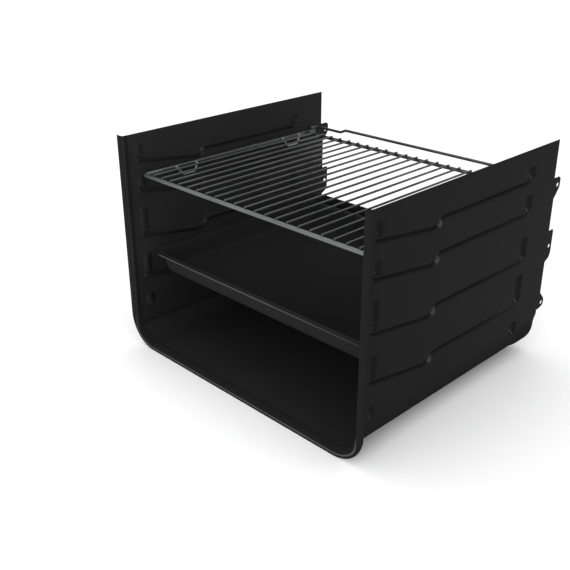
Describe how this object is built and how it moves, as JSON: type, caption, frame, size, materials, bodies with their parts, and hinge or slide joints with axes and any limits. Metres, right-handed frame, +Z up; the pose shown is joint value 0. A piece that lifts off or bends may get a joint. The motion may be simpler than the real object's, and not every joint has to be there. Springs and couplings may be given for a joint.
{
  "type": "open grill liner with sliding rack and drip tray",
  "caption": "Open-topped, open-fronted black enamelled sheet-steel grill liner with pressed runners, rear fixing tabs, a sliding welded-wire rack and a sliding shallow drip tray.",
  "frame": {"origin": "middle of the base of the whole object's box: half way across, half way from the front lip to the rear tabs, at the lip's lower edge", "axes": "+X to the right seen from the front, +Y to the back, +Z up"},
  "size_m": [0.422, 0.386, 0.296],
  "materials": {
    "enamel": "satin black vitreous enamel with faint orange peel",
    "tray_enamel": "semi-gloss black vitreous enamel",
    "rack_wire": "drawn steel wire, dull, darkened by heat"
  },
  "bodies": {
    "liner": {"liner_shell": "enamel", "rear_wall": "enamel"},
    "rack": {"rack_frame_wire": "rack_wire", "rack_rear_crosswire": "rack_wire", "rack_stop_wire": "rack_wire", "rack_bar_01": "rack_wire", "rack_bar_02": "rack_wire", "rack_bar_03": "rack_wire", "rack_bar_04": "rack_wire", "rack_bar_05": "rack_wire", "rack_bar_06": "rack_wire", "rack_bar_07": "rack_wire", "rack_bar_08": "rack_wire", "rack_bar_09": "rack_wire", "rack_bar_10": "rack_wire", "rack_bar_11": "rack_wire", "rack_bar_12": "rack_wire", "rack_bar_13": "rack_wire", "rack_bar_14": "rack_wire", "rack_bar_15": "rack_wire", "rack_bar_16": "rack_wire", "rack_bar_17": "rack_wire", "rack_bar_18": "rack_wire", "rack_bar_19": "rack_wire", "rack_bar_20": "rack_wire", "rack_bar_21": "rack_wire", "rack_guide_front_left": "rack_wire", "rack_guide_front_right": "rack_wire", "rack_guide_rear_left": "rack_wire", "rack_guide_rear_right": "rack_wire"},
    "tray": {"drip_tray": "tray_enamel"}
  },
  "joints": [
    {"name": "rack_slide", "type": "slide", "parent": "liner", "child": "rack", "axis": [0, -1, 0], "range_m": [0, 0.215]},
    {"name": "tray_slide", "type": "slide", "parent": "liner", "child": "tray", "axis": [0, -1, 0], "range_m": [0, 0.2]}
  ]
}
